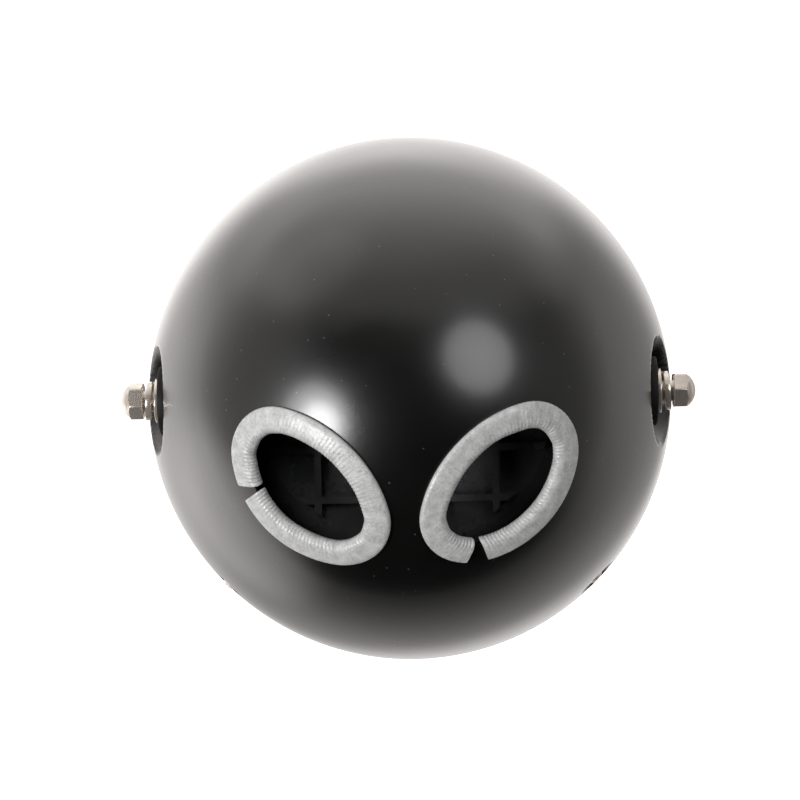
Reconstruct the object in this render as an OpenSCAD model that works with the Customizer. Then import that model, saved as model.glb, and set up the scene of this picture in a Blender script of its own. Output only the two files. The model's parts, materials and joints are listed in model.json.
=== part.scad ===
// Motorcycle headlight: a pressed steel bucket with a round LED lamp unit held in its front ring.
// The beam leaves along +Y, +Z is up, and the origin is where the side mount axis crosses the beam axis.

/* [Bucket] */
// Width between the lamp insert and the outside of the bucket at the rim
rim_margin = 9; // [8:0.5:12]
// Thickness of the pressed steel
wall = 1.2; // [0.9:0.1:1.6]
// Radius of the curve of the bucket's side
side_r = 180; // [165:1:220]
// Slope of the side where it reaches the rim
rim_slope = 3.5; // [2.5:0.5:5]
// Angle at which the side curve hands over to the round back
turn_angle = 32; // [29:1:35]
// Distance from the rim back to the side mount axis
mount_back = 30; // [28:1:36]
// How far the front lip turns in
lip_depth = 3.2; // [2.4:0.1:4]

/* [Side mounts] */
// Radius of the flat on each side pad
pad_r = 19; // [16:0.5:20]
// Depth of the pad's floor below the bowl at the mount axis
pad_depth = 6.7; // [5:0.1:8]
// Radius at the root of the pad's wall
pad_root_r = 3; // [2:0.5:4]
// Radius at the outer edge of the pad's wall
pad_edge_r = 3; // [2:0.5:4]
// Slope of the pad's wall
pad_slope = 50; // [45:1:60]
// Diameter of the mount bolt's thread
bolt_d = 8; // [6:1:10]
// Length of the mount bolt under its head
bolt_l = 20; // [18:1:24]
// Width of the hexagon across its flats
hex_w = 12; // [11:0.5:14]
// Height of the hexagon
hex_h = 5.7; // [5:0.1:7]
// Height of the dome on the hexagon
dome_h = 2.6; // [1.5:0.1:3]
// Turn of the left bolt's hexagon
left_hex_turn = 22; // [0:1:60]
// Turn of the right bolt's hexagon
right_hex_turn = 1; // [0:1:60]
// Diameter of the rubber washer
rubber_d = 25.4; // [22:0.2:28]
// Thickness of the rubber washer
rubber_t = 3.6; // [2.5:0.1:5]
// Diameter of the flat washer
washer_d = 16.4; // [15:0.2:20]
// Thickness of the flat washer
washer_t = 1.5; // [1:0.1:2]
// Outside diameter of the spring washer
spring_d = 14.2; // [13.4:0.2:15]
// Side of the spring washer's section
spring_t = 2.1; // [1.6:0.1:2.4]
// Free height of the split spring washer
spring_h = 4.4; // [4:0.1:5]
// Width of the weld nut across its flats
weld_nut_w = 14; // [13:0.5:16]
// Height of the weld nut
weld_nut_h = 7; // [6:0.5:9]

/* [Cable holes] */
// Length of each oval hole
hole_l = 51.5; // [46:0.5:54]
// Width of each oval hole
hole_w = 36.5; // [34:0.5:38]
// Radius of the oval's ends
hole_end_r = 14; // [12:0.5:15]
// Angle of each hole from the pole of the round back
hole_polar = 34.5; // [33:0.5:36]
// Angle of each hole below the horizontal
hole_swing = 45; // [43:1:47]
// How far the edging reaches over the sheet
trim_reach = 5.9; // [4.5:0.1:7]
// Thickness of the edging's legs
trim_leg = 2; // [1.4:0.1:2.4]
// Opening of the edging's split at its inner side
split_in = 1.4; // [0.8:0.2:3]
// Opening of the edging's split at its outer side
split_out = 6; // [3:0.5:9]
// Place of the left edging's split round its oval
left_split = 24; // [0:1:359]
// Place of the right edging's split round its oval
right_split = 318; // [0:1:359]

/* [Front ring] */
// Thickness of the rubber seal on the rim
seal_t = 1; // [0.6:0.1:2]
// How far the trim ring stands out past the bucket
ring_proud = 0.6; // [0.2:0.1:1.2]
// Radius of the trim ring's rolled face
ring_roll_r = 10.5; // [9.5:0.1:11.5]
// Thickness of the trim ring
ring_t = 1.2; // [1:0.1:1.6]
// Width of the trim ring's inner lip
ring_lip = 3.5; // [3:0.1:4.5]
// Distance from the rim back to the ring screws
ring_screw_back = 10; // [9:0.5:12]
// Angle of the ring screws below the horizontal
ring_screw_drop = 45; // [40:1:50]
// Depth of the dimple round each ring screw
dimple_depth = 2; // [1.5:0.1:2.5]
// Radius of the dimple's flat floor
dimple_r = 5.4; // [5.2:0.1:6]
// Diameter of the ring screw's head
ring_head_d = 8.6; // [8:0.1:9.6]
// Height of the ring screw's head
ring_head_h = 2.4; // [2:0.1:3]
// Diameter of the ring screw's thread
ring_screw_d = 5; // [4:0.5:5]
// Width of the tabs that hold the ring
tab_w = 14; // [12:0.5:16]
// Thickness of the tabs and of the retaining ring
tab_t = 1.5; // [1.2:0.1:2]
// Diameter of the posts behind the trim ring
post_d = 6; // [5:0.5:6.5]
// Diameter of the retaining screws' thread
clamp_screw_d = 3.5; // [3:0.5:4]

/* [Lamp unit] */
// Diameter of the lamp insert
lamp_d = 178; // [172:1:184]
// Thickness of the housing's cast wall
cast_t = 2.5; // [2:0.1:3.5]
// Depth of the housing behind its flange
lamp_depth = 71; // [66:1:74]
// Radius of the round back of the housing
lamp_back_r = 61; // [58:0.5:63]
// Radius of the housing's rounded shoulder
shoulder_r = 9; // [7:0.5:11]
// Height of the ribs on the housing's back
rib_h = 5; // [3:0.5:6]
// Width of the ribs
rib_w = 2.5; // [2:0.1:3.5]
// Distance of the upright ribs from the middle
rib_x = 31; // [28:0.5:33]
// Distance of the inner level ribs from the middle
rib_inner_z = 19.5; // [18:0.5:21]
// Distance of the outer level ribs from the middle
rib_outer_z = 37; // [35:0.5:39]
// Thickness of the clear lens
lens_t = 3; // [2:0.1:4]
// Radius of the lens's curved face
lens_r = 262; // [240:1:300]
// Diameter of the projector lens
projector_d = 60; // [54:1:64]
// Depth of the projector's barrel behind the bezel
barrel_depth = 30; // [28:1:31]
// Depth of the low beam reflector behind the barrel
reflector_depth = 21; // [20:1:23]
// Radius of the low beam's circuit board
low_board_r = 14; // [12:1:16]
// Distance of the high beam reflectors from the middle
high_x = 56; // [54:0.5:57]
// Diameter of each high beam reflector's mouth
high_d = 36; // [32:1:38]
// Depth of the high beam reflectors
high_cup_depth = 17; // [15:1:19]
// Thickness of the moulded inner parts
mould_t = 2; // [1.5:0.1:2.5]
// Thickness of the circuit boards
board_t = 1.6; // [1:0.1:2]

/* [Hidden] */
$fn = 96;

// Clearances
hole_fit = 0.4;
trim_fit = 0.15;
seat_gap = 0.3;
tuck = 0.1;
// The side curve is drawn in by this much, so that it crosses the round back
curve_cross = 0.02;
far = 400;

// Bowl
lamp_r = lamp_d / 2;
bucket_r = lamp_r + rim_margin;
rim_y = mount_back;
side_c_r = bucket_r - side_r * cos(rim_slope);
side_c_y = rim_y + side_r * sin(rim_slope);
back_r = side_r + side_c_r / cos(turn_angle);
back_y = side_c_y + side_c_r * tan(turn_angle);
pole_y = back_y - back_r;
function norm_leg(slant, leg) = sqrt(slant * slant - leg * leg);
function bowl_r(y) = side_c_r + norm_leg(side_r, y - side_c_y);
lip_r = bucket_r - wall - lip_depth;

// Stack along the mount axis
pad_x = bowl_r(0) - pad_depth;
washer_x = pad_x + rubber_t;
spring_x = washer_x + washer_t;
head_x = spring_x + spring_h;

// Four-arc oval of the cable holes, long side along local y
oval_a = hole_l / 2;
oval_b = hole_w / 2;
oval_end_y = oval_a - hole_end_r;
oval_side_r = (oval_end_y * oval_end_y + oval_b * oval_b - hole_end_r * hole_end_r)
    / (2 * (oval_b - hole_end_r));
oval_side_x = oval_side_r - oval_b;
oval_turn = atan2(oval_end_y, oval_side_x);

// Section of the edging
trim_r = wall / 2 + trim_fit + trim_leg;
trim_stations = 44;
trim_bulb_steps = 6;

// Front ring
ring_r = bucket_r + ring_proud;
ring_y = rim_y + seal_t;
ring_c_r = ring_r - ring_roll_r;
screw_y = rim_y - ring_screw_back;
dimple_floor = bowl_r(screw_y) - dimple_depth;
tab_out_r = lip_r - 2.1;
post_r = ring_c_r + 4;

// Lamp unit
flange_y = ring_y + 2;
retain_back_y = flange_y - tab_t;
foot_l = 8;
hook_y = rim_y - wall - seat_gap - tab_t;
flange_t = 3;
gasket_t = 1;
cup_t = 1.5;
lens_out_r = lamp_r - cup_t - seat_gap;
lens_c_y = ring_y + ring_roll_r - ring_t - seat_gap - norm_leg(lens_r, ring_c_r - ring_lip);
lens_edge_y = lens_c_y + norm_leg(lens_r, lens_out_r);
gasket_w = 3.6;
lens_foot_y = flange_y + flange_t + gasket_t;
lamp_back_y = flange_y - lamp_depth;
shoulder_c_r = lamp_back_r - shoulder_r;
shoulder_c_y = lamp_back_y + shoulder_r;
lamp_front_r = lamp_r - 7.4;
// Slope of the housing's side: the line from its front edge that touches the shoulder
lamp_slope = atan2(lamp_front_r - shoulder_c_r, flange_y - shoulder_c_y)
    - asin(shoulder_r / norm([lamp_front_r - shoulder_c_r, flange_y - shoulder_c_y]));
lamp_inner_y = lamp_back_y + cast_t;

// Inside the lamp
bezel_y = flange_y - 6;
bezel_r = lamp_front_r - cast_t - 3;
barrel_r = projector_d / 2 + 3.5;
barrel_back_y = bezel_y - barrel_depth;
low_board_y = barrel_back_y - reflector_depth;
high_board_y = bezel_y - high_cup_depth - board_t;
driver_z = 31;
driver_w = 40;
driver_h = 24;
driver_y = lamp_inner_y + 4;
driver_hole_x = driver_w / 2 - 4;
driver_hole_z = driver_h / 2 - 4;
gland_z = 8;
vent_x = 14;
vent_z = -8;

// Local z runs forward along the beam
module along_beam() rotate([-90, 0, 0]) children();

// Local z runs outwards along the mount axis, on the right for side 1 and on the left for side -1
module to_side(side) mirror([side < 0 ? 1 : 0, 0, 0]) rotate([0, 90, 0]) children();

// Local z runs outwards along a ring screw
module to_ring_screw(side)
    mirror([side < 0 ? 1 : 0, 0, 0])
        translate([0, screw_y, 0]) rotate([0, 90 + ring_screw_drop, 0]) children();

// Local z runs outwards through a cable hole, from the middle of the round back
module to_cable_hole(side)
    mirror([side < 0 ? 1 : 0, 0, 0])
        translate([0, back_y, 0]) rotate([0, hole_swing, 0])
            rotate([90, 0, 0]) rotate([0, hole_polar, 0]) children();

// Flat ring with its back face at y
module ring(y, outer, inner, height)
    translate([0, y, 0]) along_beam() difference() {
        cylinder(r = outer, h = height);
        translate([0, 0, -1]) cylinder(r = inner, h = height + 2);
    }

// Points of an arc
function arc(centre, radius, from, to, steps) = [
    for (i = [0:steps])
    let (turn = from + (to - from) * i / steps)
    centre + radius * [cos(turn), sin(turn)]
];

// Sector of a circle between two angles less than 180 degrees apart
module sector(radius, from, to)
    intersection() {
        circle(radius);
        polygon([
            [0, 0],
            3 * radius * [cos(from), sin(from)],
            3 * radius * [cos((from + to) / 2), sin((from + to) / 2)],
            3 * radius * [cos(to), sin(to)]
        ]);
    }

// Everything behind the line on which the side curve meets the round back
module behind_turn()
    translate([0, back_y]) rotate(-turn_angle) translate([-far, -2 * far]) square(2 * far);

// Section of the bowl's inside, shrunk by inset: radius and distance along the beam
module bowl_section(inset)
    intersection() {
        union() {
            translate([0, back_y]) circle(back_r - inset);
            difference() {
                translate([side_c_r, side_c_y]) circle(side_r - inset - curve_cross);
                behind_turn();
            }
        }
        translate([0, pole_y - 1]) square([bucket_r + 1, rim_y - pole_y + 1]);
    }

// Space pressed into the bowl, down to a flat floor, with a rounded root and edge; skin makes it deeper
module pressing(flat_r, floor, root_r, edge_r, slope, height, skin) {
    root = [flat_r, floor + root_r];
    foot = root + root_r * [sin(slope), -cos(slope)];
    rise_l = (height - (root_r + edge_r) * (1 - cos(slope))) / sin(slope);
    head = foot + rise_l * [cos(slope), sin(slope)];
    edge = head + edge_r * [sin(slope), -cos(slope)];
    top = floor + height + 10;
    rotate_extrude() polygon(concat(
        [[0, floor - skin]],
        arc(root, root_r + skin, -90, slope - 90, 3),
        arc(edge, edge_r - skin, slope + 90, 90, 3),
        [[edge.x, top], [0, top]]
    ));
}

module side_pad(skin) pressing(pad_r, pad_x, pad_root_r, pad_edge_r, pad_slope, pad_depth + 5, skin);

module screw_dimple(skin) pressing(dimple_r, dimple_floor, 1.5, 1.5, 40, dimple_depth + 1.5, skin);

// Oval made of four arcs that meet tangent
module oval() {
    for (end = [-1, 1])
        translate([0, end * oval_end_y]) sector(hole_end_r, 90 * end - 90 + oval_turn, 90 * end + 90 - oval_turn);
    for (end = [-1, 1])
        translate([-end * oval_side_x, 0])
            sector(oval_side_r, 90 - 90 * end - oval_turn, 90 - 90 * end + oval_turn);
}

module bucket()
    color("#161617")
    difference() {
        difference() {
            along_beam() rotate_extrude() bowl_section(0);
            bucket_hollow();
            for (side = [-1, 1]) {
                to_side(side) side_pad(0);
                to_side(side) translate([0, 0, pad_x - 5]) cylinder(d = bolt_d + hole_fit, h = 10);
                to_ring_screw(side) screw_dimple(0);
                to_ring_screw(side) translate([0, 0, dimple_floor - 4]) cylinder(d = ring_screw_d + hole_fit, h = 8);
            }
        }
        for (side = [-1, 1])
            to_cable_hole(side) translate([0, 0, back_r / 2]) linear_extrude(back_r) oval();
    }

// Space inside the bucket, which its pads and dimples stand into
module bucket_hollow()
    difference() {
        along_beam() rotate_extrude() {
            intersection() {
                bowl_section(wall);
                translate([0, -far]) square([far, far + rim_y - wall]);
            }
            translate([0, rim_y - 2 * wall]) square([lip_r, 3 * wall]);
        }
        for (side = [-1, 1]) {
            to_side(side) side_pad(wall);
            to_ring_screw(side) screw_dimple(wall);
        }
    }

// Point of the oval where its outline faces the angle turn, moved out by off
function oval_point(turn, off) =
    abs(sin(turn)) * oval_side_x > abs(cos(turn)) * oval_end_y
    ? [0, sign(sin(turn)) * oval_end_y] + (hole_end_r + off) * [cos(turn), sin(turn)]
    : [-sign(cos(turn)) * oval_side_x, 0] + (oval_side_r + off) * [cos(turn), sin(turn)];

// Point of the edging over the bowl: out from the hole's edge by off, above the sheet by up
function trim_point(turn, off, up) =
    let (flat = oval_point(turn, off))
    (1 + up / back_r) * [flat.x, flat.y, sqrt(back_r * back_r - flat.x * flat.x - flat.y * flat.y)];

// Radius of the arc of the oval that faces the angle turn
function arc_radius(turn) =
    abs(sin(turn)) * oval_side_x > abs(cos(turn)) * oval_end_y ? hole_end_r : oval_side_r;

// Half of the split's opening, as an angle round the arc that it lies on
function split_half(split, off) =
    let (share = (off + trim_r) / (trim_reach + trim_r))
    (split_in + (split_out - split_in) * share) / 2 / (arc_radius(split) + off) * 180 / PI;

// Section of the edging: pairs of an outer and an inner point, from the outer leg round to the inner leg
trim_mid = -wall / 2;
trim_slot = wall / 2 + trim_fit;
trim_tip = [
    for (end = [0.12, 0.3, 1]) [
        [trim_reach - end * trim_leg + 0.12 * trim_leg, trim_slot + trim_leg * (0.45 + 0.55 * min(1, end * 1.6))],
        [trim_reach - end * trim_leg + 0.12 * trim_leg, trim_slot]
    ]
];
trim_bulb = [
    for (i = [0:trim_bulb_steps])
    let (turn = 90 + 180 * i / trim_bulb_steps)
    [trim_r * [cos(turn), sin(turn)], [-trim_fit, trim_slot * sin(turn)]]
];
function flipped(pair) = [[pair[0].x, -pair[0].y], [pair[1].x, -pair[1].y]];
trim_pairs = concat(trim_tip, trim_bulb, [for (i = [2:-1:0]) flipped(trim_tip[i])]);

module edge_trim(side, split) {
    n = len(trim_pairs);
    outline = concat([for (p = trim_pairs) p[0]], [for (i = [n - 1:-1:0]) trim_pairs[i][1]]);
    m = 2 * n;
    points = [
        for (s = [0:trim_stations - 1])
        for (p = outline)
        let (half = split_half(split, p.x), turn = split + half + (360 - 2 * half) * s / (trim_stations - 1))
        trim_point(turn, p.x, p.y + trim_mid)
    ];
    last = (trim_stations - 1) * m;
    sides = [
        for (s = [0:trim_stations - 2])
        for (i = [0:m - 1])
        let (a = s * m + i, b = s * m + (i + 1) % m)
        for (face = [[a, b, b + m], [a, b + m, a + m]]) face
    ];
    caps = [
        for (i = [0:n - 2])
        let (a = i, b = i + 1, c = m - 2 - i, d = m - 1 - i)
        for (face = [
            [a, c, b], [a, d, c],
            [last + a, last + b, last + c], [last + a, last + c, last + d]
        ]) face
    ];
    color("#a9abab") to_cable_hole(side) polyhedron(points, concat(sides, caps));
}

module rubber_washer(side)
    color("#1c1c1c") to_side(side) translate([0, 0, pad_x]) rotate_extrude() difference() {
        union() {
            translate([0, 0]) square([rubber_d / 2 - 0.6, rubber_t]);
            translate([0, 0.6]) square([rubber_d / 2, rubber_t - 1.2]);
            for (z = [0.6, rubber_t - 0.6]) translate([rubber_d / 2 - 0.6, z]) circle(0.6);
        }
        translate([-1, -1]) square([1 + (bolt_d + hole_fit) / 2, rubber_t + 2]);
    }

module flat_washer(side)
    color("#c9c9c4") to_side(side) translate([0, 0, washer_x]) difference() {
        cylinder(d = washer_d, h = washer_t);
        translate([0, 0, -1]) cylinder(d = bolt_d + hole_fit, h = washer_t + 2);
    }

// Split washer whose section climbs once round the bolt
module spring_washer(side) {
    steps = 36;
    gap = 14;
    inner = bolt_d / 2 + hole_fit / 2;
    rise = spring_h - spring_t;
    corners = [[inner, 0], [spring_d / 2, 0], [spring_d / 2, spring_t], [inner, spring_t]];
    points = [
        for (s = [0:steps])
        let (turn = gap / 2 + (360 - gap) * s / steps)
        for (c = corners) [c.x * cos(turn), c.x * sin(turn), c.y + rise * s / steps]
    ];
    sides = [
        for (s = [0:steps - 1])
        for (i = [0:3])
        let (a = 4 * s + i, b = 4 * s + (i + 1) % 4)
        for (face = [[a, a + 4, b], [b, a + 4, b + 4]]) face
    ];
    caps = [[0, 1, 2], [0, 2, 3], [4 * steps, 4 * steps + 2, 4 * steps + 1], [4 * steps, 4 * steps + 3, 4 * steps + 2]];
    color("#b9b9b4") to_side(side) translate([0, 0, spring_x]) rotate(100) polyhedron(points, concat(sides, caps));
}

module mount_bolt(side, turn) {
    corner_d = hex_w / cos(30);
    dome_d = hex_w - 0.8;
    dome_r = (dome_d * dome_d / 4 + dome_h * dome_h) / (2 * dome_h);
    bevel = 0.9;
    color("#cfccc4") to_side(side) translate([0, 0, head_x]) {
        intersection() {
            rotate(turn) cylinder(d = corner_d, h = hex_h, $fn = 6);
            union() {
                cylinder(d = corner_d + 1, h = hex_h - bevel);
                translate([0, 0, hex_h - bevel]) cylinder(d1 = corner_d + 0.2, d2 = dome_d, h = bevel);
            }
        }
        intersection() {
            translate([0, 0, hex_h + dome_h - dome_r]) sphere(dome_r);
            translate([0, 0, hex_h - tuck]) cylinder(d = dome_d, h = dome_h + 1);
        }
        translate([0, 0, -bolt_l + 1]) cylinder(d = bolt_d, h = bolt_l - 1 + tuck);
        translate([0, 0, -bolt_l]) cylinder(d1 = bolt_d - 2, d2 = bolt_d, h = 1);
    }
}

module weld_nut(side)
    color("#8f8f8a") to_side(side) translate([0, 0, pad_x - wall - weld_nut_h]) difference() {
        intersection() {
            cylinder(d = weld_nut_w / cos(30), h = weld_nut_h, $fn = 6);
            union() {
                translate([0, 0, 1]) cylinder(d = weld_nut_w / cos(30) + 1, h = weld_nut_h);
                cylinder(d1 = weld_nut_w, d2 = weld_nut_w / cos(30) + 0.4, h = 1);
            }
        }
        translate([0, 0, -1]) cylinder(d = bolt_d + hole_fit, h = weld_nut_h + 2);
    }

module ring_screw(side) {
    head_r = (ring_head_d * ring_head_d / 4 + ring_head_h * ring_head_h) / (2 * ring_head_h);
    nut_reach = dimple_floor - tab_out_r + tab_t + 5;
    color("#cfcfca") to_ring_screw(side) translate([0, 0, dimple_floor]) {
        difference() {
            intersection() {
                translate([0, 0, ring_head_h - head_r]) sphere(head_r);
                cylinder(d = ring_head_d, h = ring_head_h + 1);
            }
            for (turn = [0, 90])
                rotate(turn + 20) translate([-2.4, -0.5, ring_head_h - 1.3]) cube([4.8, 1, 3]);
        }
        translate([0, 0, -nut_reach]) cylinder(d = ring_screw_d, h = nut_reach + tuck);
    }
}

module ring_bracket(side)
    color("#3a3a3a") to_ring_screw(side) difference() {
        union() {
            bracket_leg();
            bracket_foot();
        }
        translate([0, 0, tab_out_r - tab_t - 1]) cylinder(d = ring_screw_d + hole_fit, h = tab_t + 2);
    }

module bracket_leg()
    translate([-tab_w / 2, -tab_w / 2, tab_out_r - tab_t])
        cube([tab_w, retain_back_y - screw_y + tab_w / 2, tab_t]);

module bracket_foot()
    translate([-tab_w / 2, retain_back_y - screw_y - tab_t, tab_out_r - foot_l])
        cube([tab_w, tab_t, foot_l]);

module ring_nut(side)
    color("#9a9a95") to_ring_screw(side) difference() {
        translate([-4.5, -4.5, tab_out_r - tab_t - 4]) cube([9, 9, 4]);
        translate([0, 0, tab_out_r - tab_t - 5]) cylinder(d = ring_screw_d + hole_fit, h = 6);
    }

module rim_seal() color("#202020") ring(rim_y, bucket_r - 0.4, lip_r + 0.6, seal_t);

// Rolled ring with a narrow lip over the lens and four posts for the retaining screws
module trim_ring()
    color("#18181a") {
        along_beam() rotate_extrude() {
            difference() {
                translate([ring_c_r, ring_y]) sector(ring_roll_r, 0, 90);
                translate([ring_c_r, ring_y]) circle(ring_roll_r - ring_t);
            }
            translate([ring_c_r - ring_lip, ring_y + ring_roll_r - ring_t]) square([ring_lip + tuck, ring_t]);
        }
        intersection() {
            at_posts() translate([0, 0, flange_y]) difference() {
                cylinder(d = post_d, h = ring_roll_r);
                translate([0, 0, -1]) cylinder(d = clamp_screw_d + hole_fit, h = 5.5);
            }
            along_beam() rotate_extrude() union() {
                translate([ring_c_r, ring_y]) sector(ring_roll_r - ring_t / 2, 0, 90);
                translate([ring_c_r / 2, ring_y]) square([ring_c_r / 2, ring_roll_r - ring_t / 2]);
            }
        }
    }

module at_posts()
    for (turn = [20, 160, 200, 340])
        rotate([0, turn, 0]) translate([post_r, 0, 0]) along_beam() children();

module top_hook() {
    z = tab_out_r - tab_t;
    color("#3a3a3a") {
        translate([-tab_w / 2, hook_y, z]) cube([tab_w, retain_back_y - hook_y, tab_t]);
        translate([-tab_w / 2, hook_y, z]) cube([tab_w, tab_t, lip_r - z + lip_depth / 2]);
        translate([-tab_w / 2, retain_back_y - tab_t, tab_out_r - foot_l]) cube([tab_w, tab_t, foot_l]);
    }
}

module retaining_ring()
    color("#2c2c2c") difference() {
        union() {
            ring(retain_back_y, lamp_r + 1, lamp_front_r + 1.2, tab_t);
            at_posts() translate([0, 0, retain_back_y]) cylinder(d = post_d + 1, h = tab_t);
        }
        at_posts() translate([0, 0, retain_back_y - 1]) cylinder(d = clamp_screw_d + hole_fit, h = tab_t + 2);
    }

module retaining_screws()
    color("#b5b5b0") at_posts() translate([0, 0, retain_back_y]) {
        cylinder(d = clamp_screw_d, h = tab_t + 4);
        intersection() {
            translate([0, 0, 1.6]) sphere(3.8);
            translate([0, 0, -2]) cylinder(d = 6.4, h = 2);
        }
    }

// Section of the housing, shrunk by skin at its side, shoulder and back
module housing_section(skin) {
    shoulder = arc([shoulder_c_r, shoulder_c_y], shoulder_r - skin, -90, -lamp_slope, 8);
    foot = shoulder[8];
    polygon(concat(
        [[0, lamp_back_y + skin]],
        shoulder,
        [[foot.x + (flange_y + 1 - foot.y) * tan(lamp_slope), flange_y + 1], [0, flange_y + 1]]
    ));
}

// Cast housing: flange, tapered side, round shoulder, ribbed back and the posts that carry the boards
module lamp_housing()
    color("#232325") difference() {
        union() {
            along_beam() rotate_extrude() {
                housing_section(0);
                translate([0, flange_y]) square([lamp_r, lens_edge_y - flange_y - 0.6]);
            }
            back_ribs();
        }
        difference() {
            along_beam() rotate_extrude() {
                housing_section(cast_t);
                translate([0, flange_y - tuck]) square([lamp_front_r - cast_t - 1, far]);
                translate([0, flange_y + flange_t]) square([lamp_r - cup_t, far]);
            }
            inner_posts();
        }
        translate([0, lamp_back_y - rib_h - 1, gland_z]) along_beam() cylinder(d = 9, h = rib_h + cast_t + 2);
        translate([vent_x, lamp_back_y - 1, vent_z]) along_beam() cylinder(d = 5, h = cast_t + 2);
        driver_holes() translate([0, 0, lamp_inner_y + 0.6]) cylinder(d = 2.2, h = 5);
    }

module back_ribs()
    intersection() {
        translate([0, lamp_back_y - rib_h, 0]) along_beam() cylinder(r = shoulder_c_r, h = rib_h + 1);
        difference() {
            union() {
                for (x = [-rib_x, -rib_x / 3, rib_x / 3, rib_x])
                    translate([x - rib_w / 2, lamp_back_y - rib_h - 1, -far / 2]) cube([rib_w, rib_h + 2, far]);
                for (z = [-rib_outer_z, -rib_inner_z, rib_inner_z, rib_outer_z])
                    translate([-far / 2, lamp_back_y - rib_h - 1, z - rib_w / 2]) cube([far, rib_h + 2, rib_w]);
                translate([0, lamp_back_y - rib_h, gland_z]) along_beam() cylinder(d = 15, h = rib_h + 1);
            }
            translate([vent_x, lamp_back_y - rib_h - 2, vent_z]) along_beam() cylinder(d = 12, h = rib_h + 2);
        }
    }

// Posts inside the housing, for the low beam board, the high beam boards and the driver board
module inner_posts() {
    low_h = low_board_y - lamp_back_y;
    duct = 9;
    translate([0, lamp_back_y, 0]) along_beam() difference() {
        cylinder(r = low_board_r + 1, h = low_h);
        translate([0, -gland_z, -1]) cylinder(d = duct, h = low_h - 3);
        translate([0, -gland_z - duct, low_h / 2 - 1]) cube([duct, 2 * duct, low_h - 6], center = true);
    }
    for (x = [-high_x, high_x])
        translate([x, lamp_back_y, 0]) along_beam() cylinder(r = 9, h = high_board_y - lamp_back_y);
    driver_holes() translate([0, 0, lamp_back_y]) cylinder(d = 5, h = driver_y - lamp_back_y);
}

module driver_holes()
    for (x = [-driver_hole_x, driver_hole_x], z = [-driver_hole_z, driver_hole_z])
        translate([x, 0, driver_z + z]) along_beam() children();

module lens()
    color("#dfe8ee", 0.35) along_beam() rotate_extrude() {
        intersection() {
            difference() {
                translate([0, lens_c_y]) circle(lens_r, $fn = 720);
                translate([0, lens_c_y]) circle(lens_r - lens_t, $fn = 720);
            }
            translate([0, lens_foot_y]) square([lens_out_r, far]);
        }
        translate([lens_out_r - 3, lens_foot_y]) square([3, lens_edge_y - 1 - lens_foot_y]);
    }

module lens_gasket()
    color("#2a2a2a") ring(flange_y + flange_t, lens_out_r, lens_out_r - gasket_w, gasket_t);

// Black plate behind the lens, with openings for the three beams
module inner_bezel()
    color("#1b1b1d") difference() {
        union() {
            ring(bezel_y, bezel_r, 1, mould_t);
            ring(bezel_y, bezel_r, bezel_r - mould_t, lens_foot_y - bezel_y);
            ring(flange_y + flange_t, lens_out_r - gasket_w - seat_gap, bezel_r - mould_t, gasket_t);
        }
        translate([0, bezel_y - 1, 0]) along_beam() cylinder(r = barrel_r + seat_gap, h = mould_t + 2);
        for (x = [-high_x, high_x])
            translate([x, bezel_y - 1, 0]) along_beam() cylinder(d = high_d - 2, h = mould_t + 2);
    }

module halo_light_guide() {
    halo_r = high_x + high_d / 2;
    color("#eef2f4") along_beam() rotate_extrude() intersection() {
        translate([halo_r - 3, bezel_y + mould_t + 1]) circle(2.6);
        translate([0, bezel_y + mould_t]) square([far, 6]);
    }
}

module projector_lens() {
    r = projector_d / 2;
    face_r = r * 1.25;
    color("#dfe8ee", 0.35) translate([0, bezel_y, 0]) along_beam() {
        cylinder(r = r, h = 3);
        intersection() {
            translate([0, 0, 3 - sqrt(face_r * face_r - r * r)]) sphere(face_r);
            translate([0, 0, 2]) cylinder(r = r, h = far);
        }
    }
}

module projector_barrel()
    color("#8c8c8c") along_beam() rotate_extrude() {
        translate([projector_d / 2 + seat_gap, barrel_back_y])
            square([barrel_r - projector_d / 2 - seat_gap, barrel_depth + 2 * mould_t]);
        translate([projector_d / 2 - 2, barrel_back_y]) square([3, barrel_depth]);
    }

// Deep bowl that throws the low beam into the projector
module low_beam_reflector() {
    mouth = projector_d / 2 - 2 - seat_gap;
    depth = barrel_back_y - low_board_y - board_t;
    bowl = (mouth * mouth + depth * depth) / (2 * depth);
    color("#c8c8c8") along_beam() rotate_extrude() {
        difference() {
            intersection() {
                translate([0, low_board_y + board_t + bowl]) circle(bowl);
                translate([0, low_board_y + board_t]) square([far, depth]);
            }
            translate([0, low_board_y + board_t + bowl]) circle(bowl - mould_t);
            translate([-1, low_board_y]) square([10, 10]);
        }
        translate([mouth - mould_t, barrel_back_y - mould_t]) square([barrel_r - mouth + mould_t, mould_t]);
    }
}

module low_beam_board()
    color("#e9e9e2") translate([0, low_board_y, 0]) along_beam() cylinder(r = low_board_r, h = board_t);

module high_beam_reflector(side) {
    mouth = high_d / 2;
    depth = high_cup_depth - seat_gap;
    bowl = (mouth * mouth + depth * depth) / (2 * depth);
    back = high_board_y + board_t;
    color("#c8c8c8") translate([side * high_x, back, 0]) along_beam() rotate_extrude() difference() {
        intersection() {
            translate([0, bowl]) circle(bowl);
            square([far, depth + seat_gap]);
        }
        translate([0, bowl]) circle(bowl - mould_t);
        translate([-1, -1]) square([7, 8]);
    }
}

module high_beam_boards()
    color("#e9e9e2") for (x = [-high_x, high_x])
        translate([x, high_board_y, 0]) along_beam() cylinder(r = 8.5, h = board_t);

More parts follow.
